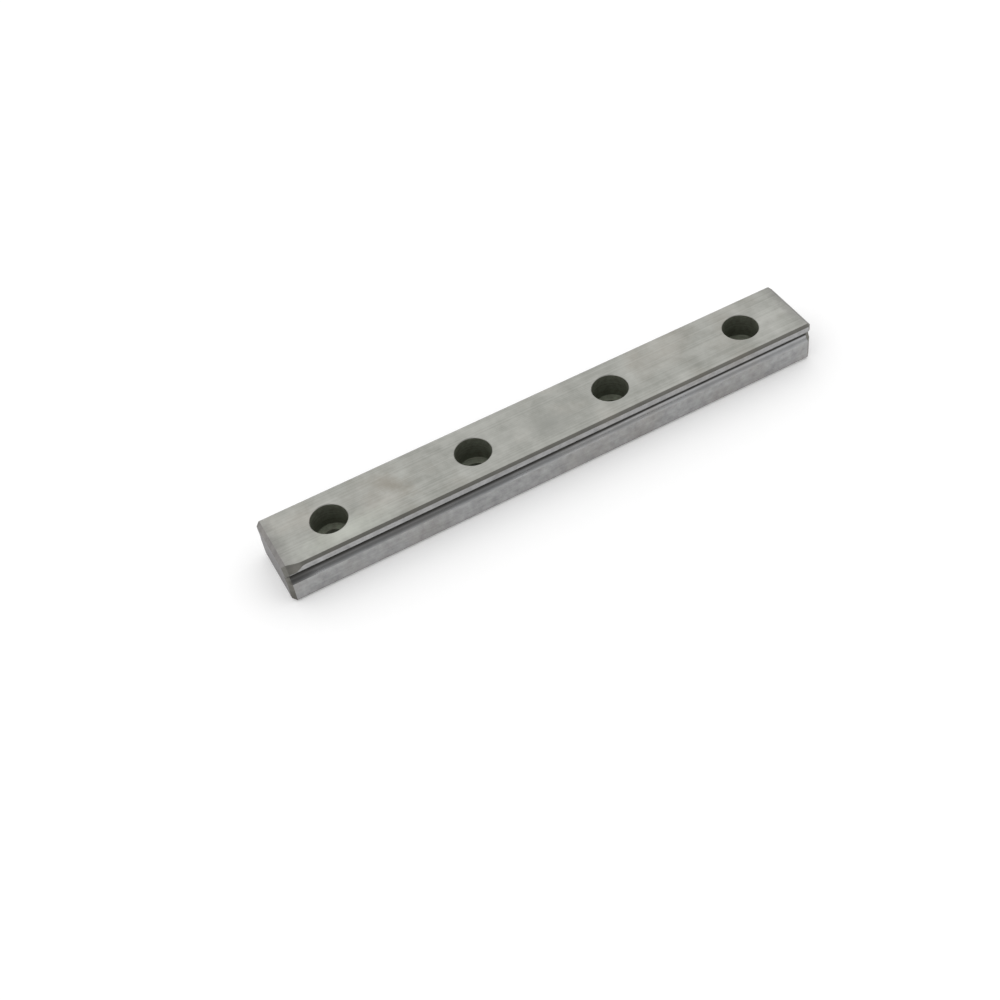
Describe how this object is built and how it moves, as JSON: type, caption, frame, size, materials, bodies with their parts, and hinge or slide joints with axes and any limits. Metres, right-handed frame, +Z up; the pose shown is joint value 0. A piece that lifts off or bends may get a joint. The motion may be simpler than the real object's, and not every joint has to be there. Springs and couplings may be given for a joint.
{
  "type": "linear guide rail",
  "caption": "Straight ground-steel guide rail with a pointed-arch ball raceway along each side and a row of counterbored screw holes down the top face.",
  "frame": {"origin": "centre of the flat mounting face underneath, midway along the rail", "axes": "+X along the rail, +Y across it, +Z up out of the face with the counterbores"},
  "size_m": [0.095, 0.012, 0.0075],
  "materials": {
    "ground_steel": "hardened steel, finely ground along its length, satin and unplated"
  },
  "bodies": {
    "root": {"guide_rail": "ground_steel"}
  },
  "joints": []
}
